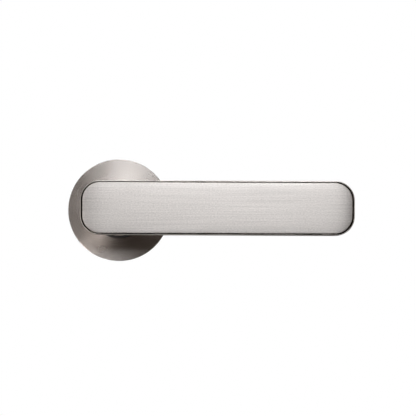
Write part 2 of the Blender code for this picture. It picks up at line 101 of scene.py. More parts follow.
def filleted(corners, steps=6):
    """Points along a path of (a, b, radius) corners, each rounded by its radius."""
    points = []
    for i, (a, b, radius) in enumerate(corners):
        here = Vector((a, b))
        if not radius:
            points.append(here)
            continue
        back = (Vector(corners[i - 1][:2]) - here).normalized()
        on = (Vector(corners[(i + 1) % len(corners)][:2]) - here).normalized()
        half = back.angle(on) / 2
        reach = radius / math.tan(half)
        centre = here + (back + on).normalized() * radius / math.sin(half)
        start, end = here + back * reach - centre, here + on * reach - centre
        turn = start.angle(end)
        for s in range(steps + 1):
            weight_start = math.sin(turn * (1 - s / steps)) / math.sin(turn)
            weight_end = math.sin(turn * s / steps) / math.sin(turn)
            points.append(centre + start * weight_start + end * weight_end)
    return points


def arc(radius, start, end, step=3.0):
    """Points on a circle about the spindle's axis, between two angles in degrees."""
    count = max(1, round(abs(end - start) / step))
    angles = [math.radians(start + (end - start) * i / count) for i in range(count + 1)]
    return [(radius * math.cos(a), radius * math.sin(a)) for a in angles]


def linked(name, data):
    """A new object in the scene."""
    obj = bpy.data.objects.new(name, data)
    bpy.context.scene.collection.objects.link(obj)
    return obj


def mesh_from(bm, name):
    """A bmesh as a mesh."""
    mesh = bpy.data.meshes.new(name)
    bm.to_mesh(mesh)
    bm.free()
    return mesh


def evaluated_mesh(obj):
    """An object's mesh as its modifiers leave it."""
    bpy.context.view_layer.update()
    return bpy.data.meshes.new_from_object(obj.evaluated_get(bpy.context.evaluated_depsgraph_get()))


def finished_mesh(bm, name, sharp=SHARP):
    """A bmesh as a mesh, welded, facing outwards and smooth up to its sharp edges."""
    bmesh.ops.remove_doubles(bm, verts=bm.verts, dist=WELD)
    bmesh.ops.recalc_face_normals(bm, faces=bm.faces)
    return smoothed(mesh_from(bm, name), sharp)


def smoothed(mesh, sharp):
    """The mesh smooth up to its sharp edges, with its flat faces left truly flat."""
    mesh.shade_smooth()
    mesh.set_sharp_from_angle(angle=math.radians(sharp))
    work = linked("work", mesh)
    modifier = work.modifiers.new("flats", "WEIGHTED_NORMAL")
    modifier.keep_sharp = True
    modifier.weight = 100
    result = evaluated_mesh(work)
    bpy.data.objects.remove(work)
    result.name = mesh.name
    return result


def lathe(name, points, closed=True, steps=FINE):
    """A path of (radius, y) points turned about the spindle's axis."""
    bm = bmesh.new()
    verts = [bm.verts.new((radius, y, 0)) for radius, y in points]
    followers = verts[1:] + (verts[:1] if closed else [])
    edges = [bm.edges.new(pair) for pair in zip(verts, followers)]
    bmesh.ops.spin(
        bm, geom=verts + edges, cent=(0, 0, 0), axis=(0, 1, 0), angle=math.tau, steps=steps, use_merge=True
    )
    return finished_mesh(bm, name)


def skin(bm, rings):
    """Faces from each ring of vertices to the next, and one over each end."""
    for ring, follower in zip(rings, rings[1:]):
        for i in range(len(ring)):
            bm.faces.new((ring[i - 1], ring[i], follower[i], follower[i - 1]))
    bm.faces.new(rings[0])
    bm.faces.new(rings[-1])


def rounded_outline(half_x, half_z, corner):
    """A rectangle with round corners, anticlockwise, as (x, z)."""
    corners = [(half_x, half_z), (-half_x, half_z), (-half_x, -half_z), (half_x, -half_z)]
    return filleted([(x, z, corner) for x, z in corners], steps=CORNER_STEPS)


def stacked_bar(name, low, high, corner, section):
    """A bar with a round-cornered outline.

    Its section is (inset, y) points from one flat face to the other.
    """
    half_x, half_z = (high.x - low.x) / 2, (high.z - low.z) / 2
    middle_x, middle_z = (high.x + low.x) / 2, (high.z + low.z) / 2
    bm = bmesh.new()
    rings = []
    for inset, y in section:
        outline = rounded_outline(half_x - inset, half_z - inset, corner - inset)
        rings.append([bm.verts.new((middle_x + x, y, middle_z + z)) for x, z in outline])
    skin(bm, rings)
    return finished_mesh(bm, name)


def threaded(name, rows, pitch):
    """A turned piece of (y, radius, thread depth) rows along Y, closed at both ends."""
    bm = bmesh.new()
    rings = []
    for y, radius, depth in rows:
        ring = []
        for i in range(SMALL):
            phase = (y / pitch - i / SMALL) % 1
            cut_radius = radius - depth * abs(2 * phase - 1)
            angle = math.tau * i / SMALL
            ring.append(bm.verts.new((cut_radius * math.cos(angle), y, cut_radius * math.sin(angle))))
        rings.append(ring)
    skin(bm, rings)
    return finished_mesh(bm, name, sharp=50)


def prism(outline, front, back):
    """An (x, z) outline drawn out along Y."""
    bm = bmesh.new()
    face = bm.faces.new([bm.verts.new((x, front, z)) for x, z in outline])
    moved = bmesh.ops.extrude_face_region(bm, geom=[face])["geom"]
    bmesh.ops.translate(
        bm, vec=(0, back - front, 0), verts=[v for v in moved if isinstance(v, bmesh.types.BMVert)]
    )
    bmesh.ops.recalc_face_normals(bm, faces=bm.faces)
    return mesh_from(bm, "prism")


def tool_rod(radius, front, back, x=0.0, z=0.0, sides=SMALL):
    """A mesh to cut with: a cylinder or prism along Y."""
    bm = bmesh.new()
    place = Matrix.Translation((x, (front + back) / 2, z)) @ Matrix.Rotation(math.pi / 2, 4, "X")
    bmesh.ops.create_cone(
        bm, cap_ends=True, segments=sides, radius1=radius, radius2=radius, depth=back - front, matrix=place
    )
    return mesh_from(bm, "tool")


def tool_box(low, high):
    """A mesh to cut with: a box between two corners."""
    bm = bmesh.new()
    size = [b - a for a, b in zip(low, high)]
    middle = [(a + b) / 2 for a, b in zip(low, high)]
    bmesh.ops.create_cube(bm, size=1, matrix=Matrix.Translation(middle) @ Matrix.Diagonal((*size, 1)))
    return mesh_from(bm, "tool")


def countersink(head, shank, depth, x, z, face, inward):
    """A mesh to cut with: a countersunk hole along Y.

    Its mouth is at the face, and it narrows the way that inward points.
    """
    path = [
        (0, face - inward * PAST),
        (head, face - inward * PAST),
        (head, face),
        (shank, face + inward * (head - shank)),
        (shank, face + inward * depth),
        (0, face + inward * depth),
    ]
    mesh = lathe("tool", path, closed=False, steps=SMALL)
    mesh.transform(Matrix.Translation((x, 0, z)))
    return mesh


def shaped(mesh, cuts=(), joins=(), bevel=0.0, segments=2):
    """The mesh with others cut from it or joined to it, and then its sharp edges eased."""
    body = linked("work", mesh)
    helpers = []
    for operation, meshes in (("UNION", joins), ("DIFFERENCE", cuts)):
        for other in meshes:
            helper = linked("tool", other)
            helpers.append(helper)
            modifier = body.modifiers.new("cut", "BOOLEAN")
            modifier.operation = operation
            modifier.solver = "EXACT"
            modifier.object = helper
    if bevel:
        modifier = body.modifiers.new("ease", "BEVEL")
        modifier.width = bevel
        modifier.segments = segments
        modifier.limit_method = "ANGLE"
        modifier.angle_limit = math.radians(EASED_FROM)
    bm = bmesh.new()
    bm.from_mesh(evaluated_mesh(body))
    for obj in [body, *helpers]:
        bpy.data.objects.remove(obj)
    return finished_mesh(bm, mesh.name)


END_ON = 0.8  # how squarely a face looks along the lever to count as its end
FACE_ON = 0.7  # and how squarely it looks to the room or the door to count as a front or back


def brush_uv(mesh):
    """A UV map in millimetres whose U runs along the brushing, so that the grain follows each face."""
    layer = mesh.uv_layers.new(name="grain")
    for face in mesh.polygons:
        for loop in face.loop_indices:
            x, y, z = mesh.vertices[mesh.loops[loop].vertex_index].co / MM
            if abs(face.normal.x) > END_ON:
                layer.data[loop].uv = (z, y)
            elif abs(face.normal.y) > FACE_ON:
                layer.data[loop].uv = (x, z)
            else:
                layer.data[loop].uv = (x, y)


def finished_piece(name, mesh, slot, node, *materials):
    """A shown piece: it stands for a CAD node and takes a finish."""
    obj = linked(name, mesh)
    for material in materials:
        mesh.materials.append(material)
    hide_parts(node)
    return obj


def piece(name, mesh, body, slot, node, *materials):
    """A finished piece that rides on a body."""
    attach(finished_piece(name, mesh, slot, node, *materials), body)


# ---------------------------------------------------------------- materials


class Nodes:
    """A material's node tree, with one short call for each node."""

    def __init__(self, name):
        self.material = bpy.data.materials.new(name)
        self.material.use_nodes = True
        self.tree = self.material.node_tree
        self.shader = self.tree.nodes["Principled BSDF"]

    def add(self, kind, **settings):
        node = self.tree.nodes.new(kind)
        for key, value in settings.items():
            setattr(node, key, value)
        return node

    def link(self, output, target):
        self.tree.links.new(output, target)

    def feed(self, name, output):
        """Drive one of the shader's inputs."""
        self.link(output, self.shader.inputs[name])

    def set(self, **values):
        for key, value in values.items():
            self.shader.inputs[key.replace("_", " ")].default_value = value

    def place(self):
        """Where a point lies on the object, in metres."""
        return self.add("ShaderNodeTexCoord").outputs["Object"]

    def math(self, operation, first, second=None):
        node = self.add("ShaderNodeMath", operation=operation)
        for socket, value in zip(node.inputs, (first, second)):
            if isinstance(value, (int, float)):
                socket.default_value = value
            elif value is not None:
                self.link(value, socket)
        return node.outputs[0]

    def noise(self, vector, scale, detail=2.0, roughness=0.5, distortion=0.0):
        node = self.add("ShaderNodeTexNoise")
        node.inputs["Scale"].default_value = scale
        node.inputs["Detail"].default_value = detail
        node.inputs["Roughness"].default_value = roughness
        node.inputs["Distortion"].default_value = distortion
        self.link(vector, node.inputs["Vector"])
        return node.outputs["Fac"]

    def scaled(self, vector, factors):
        node = self.add("ShaderNodeVectorMath", operation="MULTIPLY")
        self.link(vector, node.inputs[0])
        node.inputs[1].default_value = factors
        return node.outputs[0]

    def remap(self, value, low, high, from_low=0.3, from_high=0.7):
        """The value's usual range stretched to run from low to high."""
        node = self.add("ShaderNodeMapRange")
        node.inputs["From Min"].default_value = from_low
        node.inputs["From Max"].default_value = from_high
        node.inputs["To Min"].default_value = low
        node.inputs["To Max"].default_value = high
        self.link(value, node.inputs["Value"])
        return node.outputs[0]

    def tint(self, value, dark, light):
        """A colour between two, by a value from 0 to 1."""
        node = self.add("ShaderNodeMix", data_type="RGBA")
        self.link(value, node.inputs["Factor"])
        node.inputs["A"].default_value = (*dark, 1)
        node.inputs["B"].default_value = (*light, 1)
        return node.outputs["Result"]

    def bump(self, height, distance):
        node = self.add("ShaderNodeBump")
        node.inputs["Distance"].default_value = distance
        node.inputs["Strength"].default_value = 1.0
        self.link(height, node.inputs["Height"])
        self.feed("Normal", node.outputs[0])


def shade(colour, factor):
    return tuple(min(1.0, channel * factor) for channel in colour)


STREAKS = ((0.02, 2.0, 0.42), (1.2, 2.2, 0.58))  # per mm along, per mm across, and share
STREAK_RANGE = (0.36, 0.64)  # what the mixed streaks mostly lie between
WEAR_SCALE = 55
WEAR = 0.02  # how far wear moves the roughness, up or down
ACROSS = 0.25  # of a turn, from the grain to the way the highlights spread


def brushed(
    name, colour, roughness, anisotropy, grain, tangent_axis=None, spread=0.14, vary=0.03, depth=0.1e-6
):
    """Satin metal. grain(nodes, along, across) gives coordinates for streaks of that many per millimetre."""
    n = Nodes(name)
    mixed = None
    for along, across, share in STREAKS:
        streak = n.math("MULTIPLY", n.noise(grain(n, along, across), 1.0, roughness=0.6), share)
        mixed = streak if mixed is None else n.math("ADD", mixed, streak)
    tone = n.remap(mixed, 0, 1, *STREAK_RANGE)
    n.feed("Base Color", n.tint(tone, shade(colour, 1 - spread), shade(colour, 1 + spread)))
    wear = n.remap(n.noise(n.place(), WEAR_SCALE), roughness - WEAR, roughness + WEAR)
    n.feed("Roughness", n.math("ADD", n.remap(mixed, -vary, vary), wear))
    n.bump(mixed, depth)
    n.set(Metallic=1.0, Anisotropic=anisotropy, Anisotropic_Rotation=ACROSS)
    if tangent_axis:
        tangent = n.add("ShaderNodeTangent", direction_type="RADIAL", axis=tangent_axis)
    else:
        tangent = n.add("ShaderNodeTangent", direction_type="UV_MAP", uv_map="grain")
    n.feed("Tangent", tangent.outputs[0])
    return n.material


def straight_grain(n, along, across):
    """Grain along U, which is in millimetres."""
    place = n.add("ShaderNodeUVMap", uv_map="grain").outputs[0]
    return n.scaled(place, (along, across, 1))


GRAIN_RADIUS = 20  # millimetres from the axis, where the turned grain has its stated length


def turned_grain(n, along, across):
    """Grain that runs round the spindle's axis without a seam."""
    parts = n.add("ShaderNodeSeparateXYZ")
    n.link(n.place(), parts.inputs[0])
    x, y, z = parts.outputs
    radius = n.math("SQRT", n.math("ADD", n.math("MULTIPLY", x, x), n.math("MULTIPLY", z, z)))
    joined = n.add("ShaderNodeCombineXYZ")
    for output, socket in ((x, 0), (z, 1)):
        turn = n.math("MULTIPLY", n.math("DIVIDE", output, radius), along * GRAIN_RADIUS)
        n.link(turn, joined.inputs[socket])
    n.link(n.math("MULTIPLY", n.math("ADD", radius, y), across / MM), joined.inputs[2])
    return joined.outputs[0]


MOTTLE_SHARE = 0.6  # of the mottle in its mix with the cloud
MOTTLE_SPREAD = 0.06  # how far the mix moves the colour
MOTTLE_GLOSS = 0.07  # and the roughness, up or down


def plain_metal(name, colour, roughness, scale, depth=2e-6):
    """Unbrushed metal, with a soft mottle in its colour, gloss and surface."""
    n = Nodes(name)
    place = n.place()
    mottle = n.noise(place, scale, detail=5, roughness=0.6, distortion=0.2)
    cloud = n.noise(place, scale / 9)
    shares = (n.math("MULTIPLY", mottle, MOTTLE_SHARE), n.math("MULTIPLY", cloud, 1 - MOTTLE_SHARE))
    mixed = n.math("ADD", *shares)
    dark, light = shade(colour, 1 - MOTTLE_SPREAD), shade(colour, 1 + MOTTLE_SPREAD)
    n.feed("Base Color", n.tint(n.remap(mixed, 0, 1), dark, light))
    n.feed("Roughness", n.remap(mixed, roughness - MOTTLE_GLOSS, roughness + MOTTLE_GLOSS))
    n.bump(mottle, depth)
    n.set(Metallic=1.0)
    return n.material


def zinc_plate(name):
    """Bright zinc plate, with faint yellow and blue clouds and fine lines along the piece."""
    n = Nodes(name)
    place = n.place()
    cloud = n.noise(place, 140, detail=3, distortion=0.4)
    n.feed("Base Color", n.tint(n.remap(cloud, 0, 1), (0.60, 0.63, 0.68), (0.70, 0.68, 0.60)))
    drawn = n.noise(n.scaled(place, (9000, 60, 9000)), 1.0)
    n.feed("Roughness", n.remap(drawn, 0.24, 0.38))
    n.bump(drawn, 1e-6)
    n.set(Metallic=1.0)
    return n.material


def black_oxide(name):
    """Oiled black oxide, worn a little paler in places."""
    n = Nodes(name)
    wear = n.noise(n.place(), 900, detail=4, roughness=0.65)
    n.feed("Base Color", n.tint(n.remap(wear, 0, 1, 0.5, 0.8), (0.035, 0.035, 0.038), (0.12, 0.115, 0.11)))
    n.feed("Roughness", n.remap(wear, 0.34, 0.5))
    n.bump(wear, 2e-6)
    n.set(Metallic=0.85)
    return n.material


def matt_black(name, grain, gloss=0.5, warmth=0.0):
    """Moulded nylon, or the warm near-black painted as shade into the lever's groove, with a fine grain of
    that noise scale.
    """
    n = Nodes(name)
    pores = n.noise(n.place(), grain, detail=3)
    dark, light = ((level * (1 + warmth), level, level * (1 - warmth)) for level in (0.012, 0.03))
    n.feed("Base Color", n.tint(pores, dark, light))
    n.feed("Roughness", n.remap(pores, 0.45, 0.6))
    n.bump(pores, 4e-6)
    n.set(Specular_IOR_Level=gloss)
    return n.material


FACE = brushed("face_satin", (0.66, 0.635, 0.62), 0.33, 0.88, straight_grain, spread=0.16)
FACE_EDGE = brushed("face_cut_edge", (0.6, 0.56, 0.53), 0.28, 0.3, straight_grain)
FRAME = brushed("frame_satin", (0.55, 0.52, 0.49), 0.32, 0.6, straight_grain)
NECK = brushed("neck_satin", (0.55, 0.52, 0.49), 0.30, 0.6, turned_grain, "Y")
ROSE = brushed(
    "rose_satin", (0.68, 0.645, 0.625), 0.27, 0.85, turned_grain, "Y", spread=0.1, vary=0.003, depth=0.01e-6
)
NYLON = matt_black("black_nylon", 5000)
# Painted shade: a warm near-black laid on the frame's recess and on the face plate's sides and back, so that
# the groove round the plate shows as a dark shadow line.
PAINTED_SHADE = matt_black("recess_painted_shade", 9000, gloss=0.1, warmth=0.3)
ZINC_CAST = plain_metal("zinc_casting", (0.44, 0.44, 0.45), 0.52, 1500, depth=8e-6)
PRESSED = plain_metal("pressed_sheet", (0.60, 0.60, 0.59), 0.36, 700)
SPRING = plain_metal("spring_wire", (0.30, 0.30, 0.31), 0.34, 1200)
ZINC_PLATE = zinc_plate("zinc_plated")
BLACK = black_oxide("black_oxide")


# ---------------------------------------------------------------- the lever

PLATE_CHAMFER = (0.2 * MM, 0.4 * MM)  # its width as seen from the front, and its depth
PLATE_ROUND = 0.08 * MM
PLATE_BACK_ROUND = 0.15 * MM
PLATE_SIDE = 2 * MM  # behind its front, where its straight side starts
PLATE_RING = 4 * MM  # in from its outline, where the last ring on its back lies
CUSHION_DROP = 0.1 * MM  # how far the plate's front falls away towards its edge
CUSHION_WIDTH = 6.5 * MM
CUSHION_STEPS = 14  # closer together towards the plate's middle
CROWN = 0.1 * MM  # and from its middle up to its top and down to its bottom
CROWN_STEPS = 10
END_DROP = 0.2 * MM  # and towards each of its ends
END_WIDTH = 12 * MM
END_STEPS = 4
BENT_DEPTH = 1.5 * MM  # how much of the plate, from its front, bends with the crown
FRONT_FACING = -0.97  # a face's normal along Y, up to which it belongs to the brushed front
ROOM_FACING = -0.2  # and up to which it belongs to the cut edge; faces turned further from the room take the painted shade


def crowned(mesh, depth, low, high):
    """The mesh with all that lies in front of a depth bent back towards its edges."""
    bm = bmesh.new()
    bm.from_mesh(mesh)
    cuts = [((0, 0, high.z * i / CROWN_STEPS), (0, 0, 1)) for i in range(1 - CROWN_STEPS, CROWN_STEPS)]
    for step in range(END_STEPS + 1):
        inset = CUSHION_WIDTH + (END_WIDTH - CUSHION_WIDTH) * step / END_STEPS
        cuts += [((low.x + inset, 0, 0), (1, 0, 0)), ((high.x - inset, 0, 0), (1, 0, 0))]
    for place, normal in cuts:
        geometry = [*bm.verts, *bm.edges, *bm.faces]
        bmesh.ops.bisect_plane(bm, geom=geometry, plane_co=place, plane_no=normal)
    for vert in bm.verts:
        if vert.co.y < depth:
            from_end = min(vert.co.x - low.x, high.x - vert.co.x)
            end = max(0, 1 - from_end / END_WIDTH)
            vert.co.y += CROWN * (vert.co.z / high.z) ** 2 + END_DROP * end**2
    return finished_mesh(bm, mesh.name)


def cushion(inset):
    """How far the plate's front has fallen away at that distance in from its outline."""
    return CUSHION_DROP * max(0, 1 - inset / CUSHION_WIDTH) ** 3


def plate_section(front, back):
    """The face plate's section from the middle of its front, over its chamfer, to the middle of its back."""
    width, depth = PLATE_CHAMFER
    insets = [CUSHION_WIDTH * (1 - (i / CUSHION_STEPS) ** 1.5) for i in range(CUSHION_STEPS)]
    profile = [(inset, 0) for inset in insets if inset > width + PLATE_ROUND]
    corners = [(width + MM, 0, 0), (width, 0, PLATE_ROUND), (0, depth, PLATE_ROUND), (0, depth + MM, 0)]
    profile += filleted(corners, steps=4)[1:-1]
    section = [(inset, front + drop + cushion(inset)) for inset, drop in profile]
    return section + filleted(
        [(0, front + PLATE_SIDE, 0), (0, back, PLATE_BACK_ROUND), (PLATE_RING, back, 0)]
    )


def make_face_plate():
    front, back = plate_low.y, plate_high.y
    edge, end = RIM + GROOVE, RIM + END_GROOVE
    low = Vector((frame_low.x + end, front, frame_low.z + edge))
    high = Vector((frame_high.x - end, back, frame_high.z - RIM - TOP_GROOVE))
    mesh = stacked_bar("face_plate", low, high, FRAME_CORNER - edge, plate_section(front, back))
    mesh = crowned(mesh, front + BENT_DEPTH, low, high)
    brush_uv(mesh)
    # The plate's sides and back, turned away from the room, take painted shade (index 2).
    for face in mesh.polygons:
        facing = face.normal.y
        face.material_index = 0 if facing < FRONT_FACING else 1 if facing < ROOM_FACING else 2
    piece("visual_face_plate", mesh, "lever", "face_satin_steel", "lever_face_plate", FACE, FACE_EDGE, PAINTED_SHADE)


RIM_ROUND = 0.35 * MM
RIM_EASE = 0.08 * MM
FRAME_BACK_ROUND = 2.4 * MM
FLOOR_RING = 4 * MM  # in from the outline, where the last ring on the recess floor lies
BACK_RING = 6 * MM  # and the last one on the back
FACE_SCREW_HOLE = (3.1 * MM, 1.8 * MM, 8 * MM)  # the radii of its mouth and its bore, and its depth
NECK_SCREW_HOLE = (4.9 * MM, 2.8 * MM, 8 * MM)


def make_frame():
    front, back = frame_low.y, frame_high.y
    floor = front + RECESS_DEPTH
    section = filleted(
        [
            (FLOOR_RING, floor, 0),
            (RIM, floor, ROUND),
            (RIM, front, RIM_EASE),
            (0, front, RIM_ROUND),
            (0, back, FRAME_BACK_ROUND),
            (BACK_RING, back, 0),
        ],
        steps=ROUND_STEPS,
    )
    cuts = []
    for nodes, hole, face, inward in (
        (FACE_PLATE_SCREWS, FACE_SCREW_HOLE, back, -1),
        (NECK_SCREWS, NECK_SCREW_HOLE, floor, 1),
    ):
        for node in nodes:
            low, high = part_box(node)
            cuts.append(countersink(*hole, (low.x + high.x) / 2, 0, face, inward))
    mesh = shaped(stacked_bar("frame", frame_low, frame_high, FRAME_CORNER, section), cuts)
    brush_uv(mesh)
    slack = EASE
    wall = RIM - slack
    # The recess floor and its walls take painted shade, so that the groove round the plate shows dark.
    for face in mesh.polygons:
        x, y, z = face.center
        within = frame_low.x + wall < x < frame_high.x - wall and abs(z) < frame_high.z - wall
        in_recess = within and front + slack < y < floor + slack
        face.material_index = int(in_recess)
    piece("visual_frame", mesh, "lever", "frame_satin_steel", "lever_frame", FRAME, PAINTED_SHADE)


JOURNAL = 9 * MM  # the part of the neck that turns in the bush
JOURNAL_ROUND = 0.4 * MM
CLIP_SEAT = 8.3 * MM
CLIP_PLAY = 0.15 * MM
NECK_ROUND = 0.5 * MM
FOOT_GAP = 0.3 * MM  # from the neck's shoulder to the bush
SPINDLE_PLAY = 0.15 * MM
SPINDLE_SEAT_GAP = 0.3 * MM
DRIVER_FLAT = 7 * MM  # from the axis to each of the flats that carry the driver
DRIVER_FLAT_FRONT = -5.75 * MM
OUT_OF_NECK = 20 * MM
SCREW_PLAY = 0.3 * MM
NECK_SCREW_BORE = 2.8 * MM


def make_neck():
    radius = neck_high.x
    foot = bush_low.y - FOOT_GAP
    clip_front, clip_back = clip_low.y - CLIP_PLAY, clip_high.y + CLIP_PLAY
    path = filleted(
        [
            (0, neck_high.y, 0),
            (JOURNAL, neck_high.y, JOURNAL_ROUND),
            (JOURNAL, clip_back, 0),
            (CLIP_SEAT, clip_back, 0),
            (CLIP_SEAT, clip_front, 0),
            (JOURNAL, clip_front, 0),
            (JOURNAL, foot, 0),
            (radius, foot, NECK_ROUND),
            (radius, neck_low.y, NECK_ROUND),
            (0, neck_low.y, 0),
        ]
    )
    hole = (spindle_high.x - spindle_low.x) / 2 + SPINDLE_PLAY
    out = OUT_OF_NECK
    cuts = [
        tool_box((-hole, spindle_low.y - SPINDLE_SEAT_GAP, -hole), (hole, neck_high.y + PAST, hole)),
        tool_box((-out, DRIVER_FLAT_FRONT, DRIVER_FLAT), (out, out, out)),
        tool_box((-out, DRIVER_FLAT_FRONT, -out), (out, out, -DRIVER_FLAT)),
    ]
    low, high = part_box("grub_screw")
    grub = tool_rod((high.x - low.x) / 2 + SCREW_PLAY, PAST, out)
    grub.transform(
        Matrix.Translation((0, (low.y + high.y) / 2, 0)) @ Matrix.Rotation(-math.pi / 2, 4, "X")
    )
    cuts.append(grub)
    for node in NECK_SCREWS:
        low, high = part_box(node)
        cuts.append(tool_rod(NECK_SCREW_BORE, neck_low.y - MM, high.y + SCREW_PLAY, (low.x + high.x) / 2))
    mesh = shaped(lathe("neck", path, closed=False), cuts, bevel=0.12 * MM)
    piece("visual_neck", mesh, "lever", "neck_satin_steel", "lever_neck", NECK)


def make_spindle():
    mesh = shaped(tool_box(spindle_low, spindle_high), bevel=0.45 * MM, segments=3)
    piece("visual_spindle", mesh, "lever", "zinc_plated_steel", "spindle", ZINC_PLATE)


# ---------------------------------------------------------------- screws

THREAD_DEPTH = 0.55  # of its pitch
ROWS_A_PITCH = 6
HEXAGON = 6
# Countersunk screws: head radius, shank radius, length, socket radius and pitch.
M5 = (4.6 * MM, 2.5 * MM, 14 * MM, 1.9 * MM, 0.8 * MM)
M3 = (2.8 * MM, 1.5 * MM, 8.5 * MM, 1.2 * MM, 0.5 * MM)
M2 = (1.9 * MM, 1.0 * MM, 4.5 * MM, 0.8 * MM, 0.4 * MM)


def screw_rows(head_rows, shank, thread_from, thread_to, pitch):
    """Rows of a screw from its head to its tip along +Y. The thread fades in and out over half a pitch."""
    depth = THREAD_DEPTH * pitch
    rows = [(y, radius, 0) for y, radius in head_rows]
    rows.append((thread_from, shank, 0))
    steps = max(2, round((thread_to - thread_from) / pitch * ROWS_A_PITCH))
    for i in range(1, steps):
        y = thread_from + (thread_to - thread_from) * i / steps
        fade = min(1, 2 * i / ROWS_A_PITCH, 2 * (steps - i) / ROWS_A_PITCH)
        rows.append((y, shank, depth * fade))
    rows.append((thread_to, shank - depth / 2, 0))
    rows.append((thread_to + depth / 2, shank - depth, 0))
    return rows


def countersunk_mesh(head, shank, length, socket, pitch):
    """A countersunk hex-socket screw, with its head's flat at y = 0 and its shank along +Y."""
    cone = head - shank
    rim = 0.08 * head
    head_rows = [(0, head - rim * 0.6), (rim * 0.4, head - rim * 0.1), (rim, head - rim), (cone, shank)]
    rows = screw_rows(head_rows, shank, cone * 1.2, length - 0.3 * pitch, pitch)
    return shaped(threaded("screw", rows, pitch), [tool_rod(socket, -MM, cone * 1.05, sides=HEXAGON)])


def facing_room(low, high):
    """The place of a screw whose head is turned to the room."""
    return Matrix.Translation(((low.x + high.x) / 2, low.y, (low.z + high.z) / 2))


def facing_door(low, high):
    """The place of a screw whose head is turned to the door."""
    turn = Matrix.Rotation(math.pi, 4, "Z")
    return Matrix.Translation(((low.x + high.x) / 2, high.y, (low.z + high.z) / 2)) @ turn


def place_screws(mesh, nodes, body, slot, material, matrix_of):
    for node in nodes:
        copy = mesh.copy()
        copy.transform(matrix_of(*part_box(node)))
        piece(f"visual_{node}", copy, body, slot, node, material)


def make_countersunk_screws():
    for sizes, nodes, body, slot, material, matrix_of in (
        (M5, NECK_SCREWS, "lever", "black_oxide_steel", BLACK, facing_room),
        (M3, FACE_PLATE_SCREWS, "lever", "zinc_plated_steel", ZINC_PLATE, facing_door),
        (M2, BACK_PLATE_SCREWS, "rose", "black_oxide_steel", BLACK, facing_door),
    ):
        place_screws(countersunk_mesh(*sizes), nodes, body, slot, material, matrix_of)


def make_fixing_screws():
    low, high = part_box(FIXING_SCREWS[0])
    head, shank, under, ease = 3.6 * MM, 2.0 * MM, 2.5 * MM, 0.35 * MM
    plain = 8 * MM
    pitch = 0.7 * MM
    socket, socket_depth = 1.45 * MM, 1.5 * MM
    head_rows = [
        (0, head - ease),
        (ease * 0.3, head - ease * 0.3),
        (ease, head),
        (under - 0.01 * MM, head),
        (under, shank),
    ]
    rows = screw_rows(head_rows, shank, under + plain, high.y - low.y - 0.45 * pitch, pitch)
    mesh = shaped(threaded("screw", rows, pitch), [tool_rod(socket, -MM, socket_depth, sides=HEXAGON)])
    place_screws(mesh, FIXING_SCREWS, "rose", "zinc_plated_steel", ZINC_PLATE, facing_room)


def make_grub_screw():
    low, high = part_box("grub_screw")
    length = high.z - low.z
    radius, pitch, socket = 3 * MM, 1.0 * MM, 1.7 * MM
    head_rows = [(0, radius - 0.6 * MM), (0.5 * MM, radius)]
    rows = screw_rows(head_rows, radius, 0.6 * MM, length - 0.75 * pitch, pitch)
    mesh = shaped(threaded("screw", rows, pitch), [tool_rod(socket, -MM, length / 2, sides=HEXAGON)])
    mesh.transform(
        Matrix.Translation((0, (low.y + high.y) / 2, low.z)) @ Matrix.Rotation(math.pi / 2, 4, "X")
    )
    piece("visual_grub_screw", mesh, "lever", "black_oxide_steel", "grub_screw", BLACK)


# ---------------------------------------------------------------- the rose

COVER_STEPS = 256
COVER_WALL = 1.2 * MM
COVER_HOLE = 11.6 * MM
COVER_ROUND = 0.16 * MM
COVER_BACK_ROUND = 0.15 * MM
COVER_INNER_ROUND = 0.4 * MM
NOTCH_LOW = (-2.5 * MM, -1.2 * MM, -30 * MM)  # the tool notch at the bottom of the cover's back edge
NOTCH_HIGH = (2.5 * MM, 2 * MM, -24 * MM)


def make_cover():
    front, back = cover_low.y, cover_high.y
    inner = ROSE_RADIUS - COVER_WALL
    path = filleted(
        [
            (ROSE_RADIUS, back, COVER_BACK_ROUND),
            (ROSE_RADIUS, front, COVER_ROUND),
            (COVER_HOLE, front, SOFT),
            (COVER_HOLE, front + COVER_WALL, EASE),
            (inner, front + COVER_WALL, COVER_INNER_ROUND),
            (inner, back, COVER_BACK_ROUND),
        ],
        steps=ROUND_STEPS,
    )
    mesh = shaped(lathe("cover", path, steps=COVER_STEPS), [tool_box(NOTCH_LOW, NOTCH_HIGH)])
    piece("visual_rose_cover", mesh, "rose", "rose_satin_steel", "rose_cover", ROSE)


def make_bush():
    flange, body, bore = bush_high.x, 11.2 * MM, 9.2 * MM
    flange_gap = 0.3 * MM
    under = cover_low.y - flange_gap
    path = filleted(
        [
            (body, bush_high.y, SOFT),
            (body, under, 0),
            (flange, under, EASE),
            (flange, bush_low.y, ROUND),
            (bore, bush_low.y, EASE),
            (bore, bush_high.y, SOFT),
        ]
    )
    piece("visual_bush", lathe("bush", path), "rose", "bush_black_nylon", "bearing_bush", NYLON)


POCKETS = (  # a spring pocket, the stop lug's room and a spring pocket: from and to in degrees, and radius
    (38, 147, 18.4 * MM),
    (156.5, 210.5, 15.6 * MM),
    (218, 327, 18.4 * MM),
)
POCKET_FRONT = -6.7 * MM
HUB_ROOM = 13 * MM
SUB_ROSE_BORE = 11.5 * MM
SUB_ROSE_FLOOR = -1.2 * MM
SUB_ROSE_ROUND = 0.8 * MM
SEAT_EASE = 0.15 * MM
RING_GROOVE = (-3.7 * MM, -5.3 * MM)  # from where to where it runs
RING_GROOVE_DEPTH = 1.1 * MM
BACK_PLATE_PLAY = 0.3 * MM
LUG_RADIUS = 4 * MM
LUG_ROOT = 2 * MM  # how far a lug reaches into the casting
LUG_STEPS = 64
FIXING_HEAD_BORE, FIXING_HEAD_FLOOR = 3.9 * MM, -5.2 * MM
FIXING_SHANK_BORE = 2.3 * MM
BACK_SCREW_BORE, BACK_SCREW_FLOOR = 1.3 * MM, -4.9 * MM
BACK_SCREW_HOLE = (2.2 * MM, BACK_SCREW_BORE, 3 * MM)  # the radii of its mouth and its bore, and its depth
HOLE_STEPS = 24


